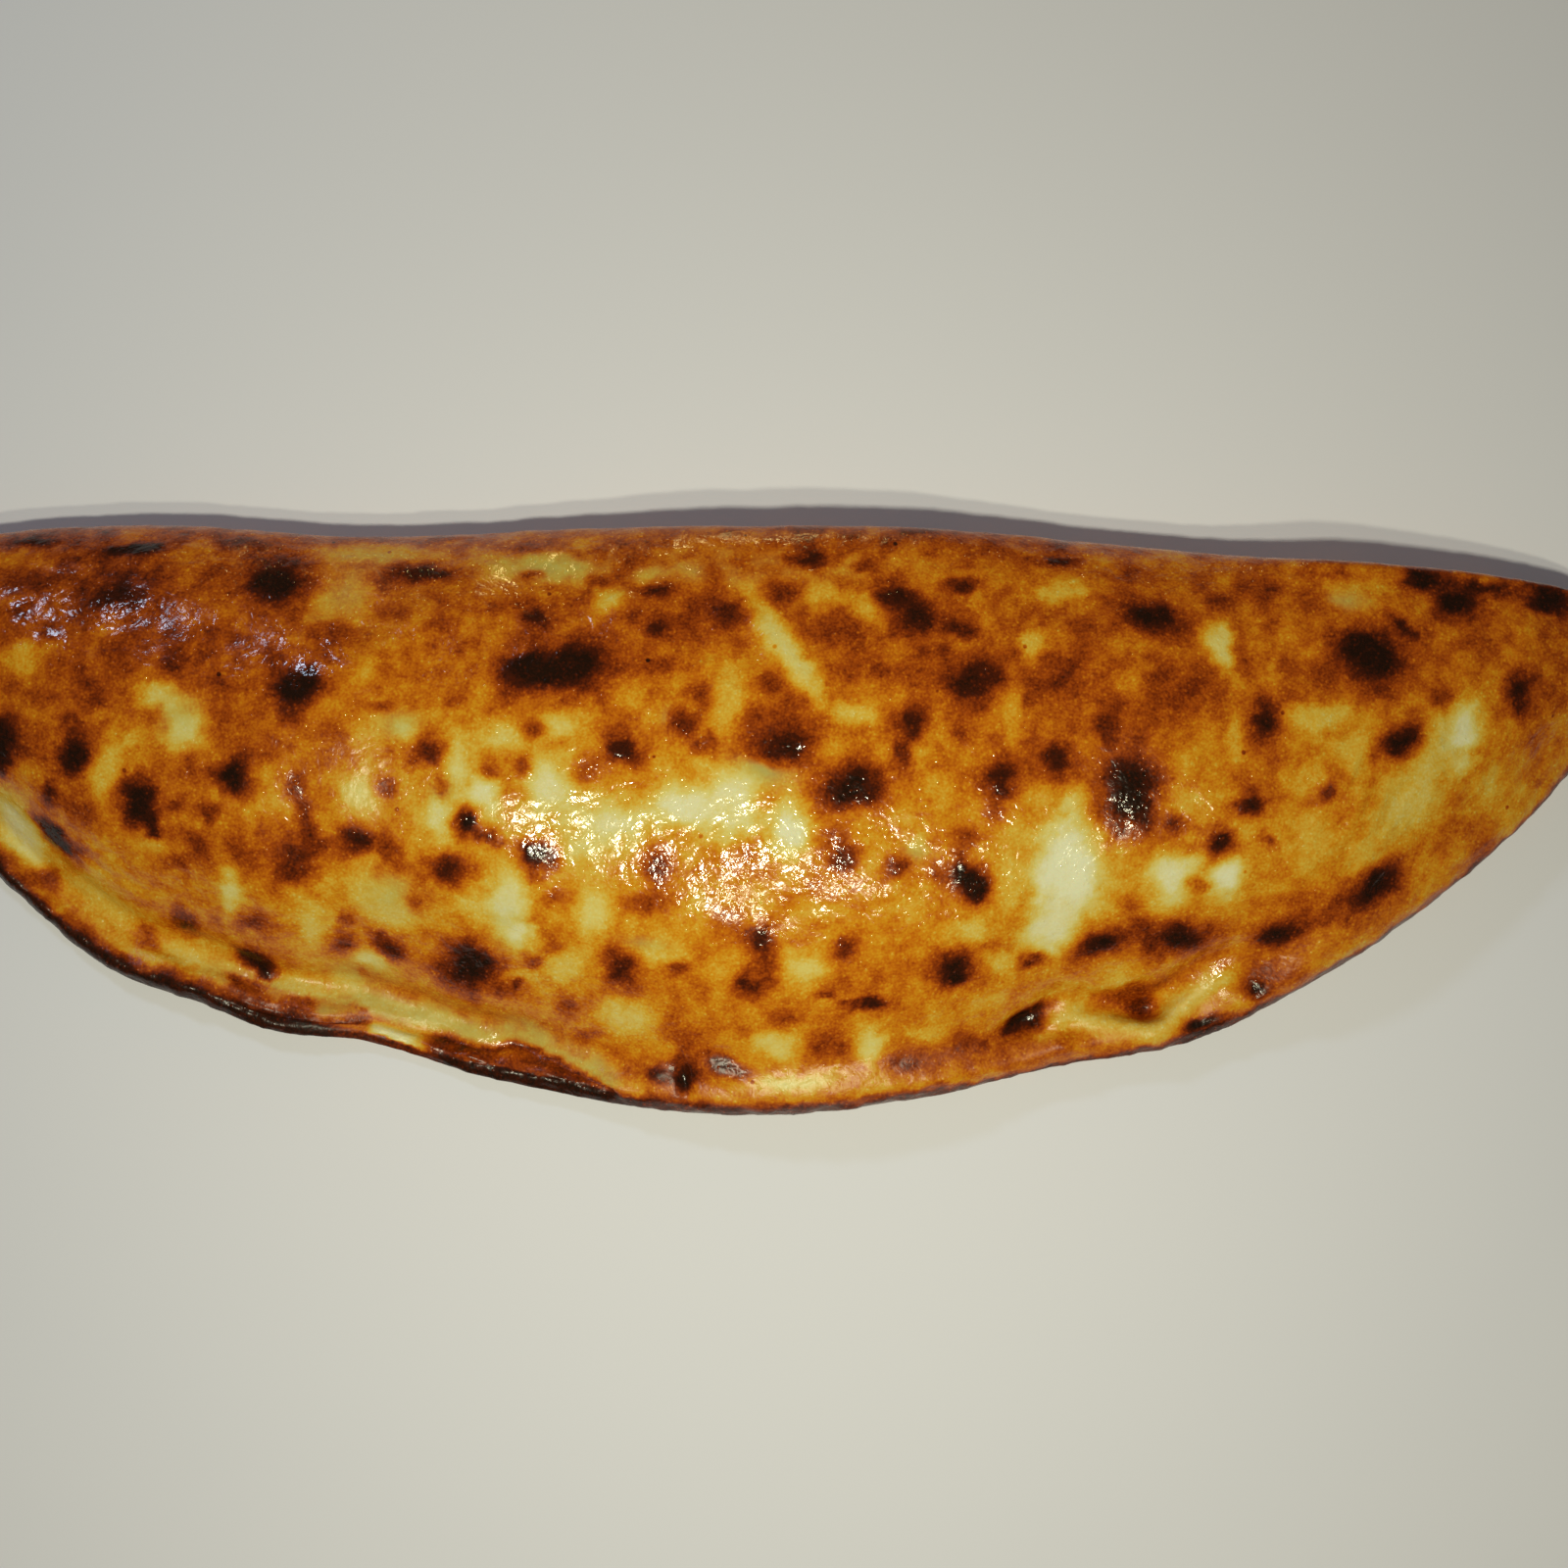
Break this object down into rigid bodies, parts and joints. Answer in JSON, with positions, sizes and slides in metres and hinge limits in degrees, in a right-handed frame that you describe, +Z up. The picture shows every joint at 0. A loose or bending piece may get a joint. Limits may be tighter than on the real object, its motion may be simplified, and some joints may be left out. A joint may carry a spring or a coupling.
{
  "type": "minced meat pide",
  "caption": "Long half-moon of baked dough folded over a flat filling, with one rounded fold edge, one pressed lip and a low domed top with scorch marks.",
  "frame": {"origin": "middle of the flat base", "axes": "+X along the length, +Y towards the folded edge, -Y towards the pressed lip, +Z up"},
  "size_m": [0.34, 0.1106, 0.0315],
  "materials": {
    "baked_crust": "golden brown baked dough, thinly oiled, blotched from cream to scorched"
  },
  "bodies": {
    "root": {"pide": "baked_crust"}
  },
  "joints": []
}
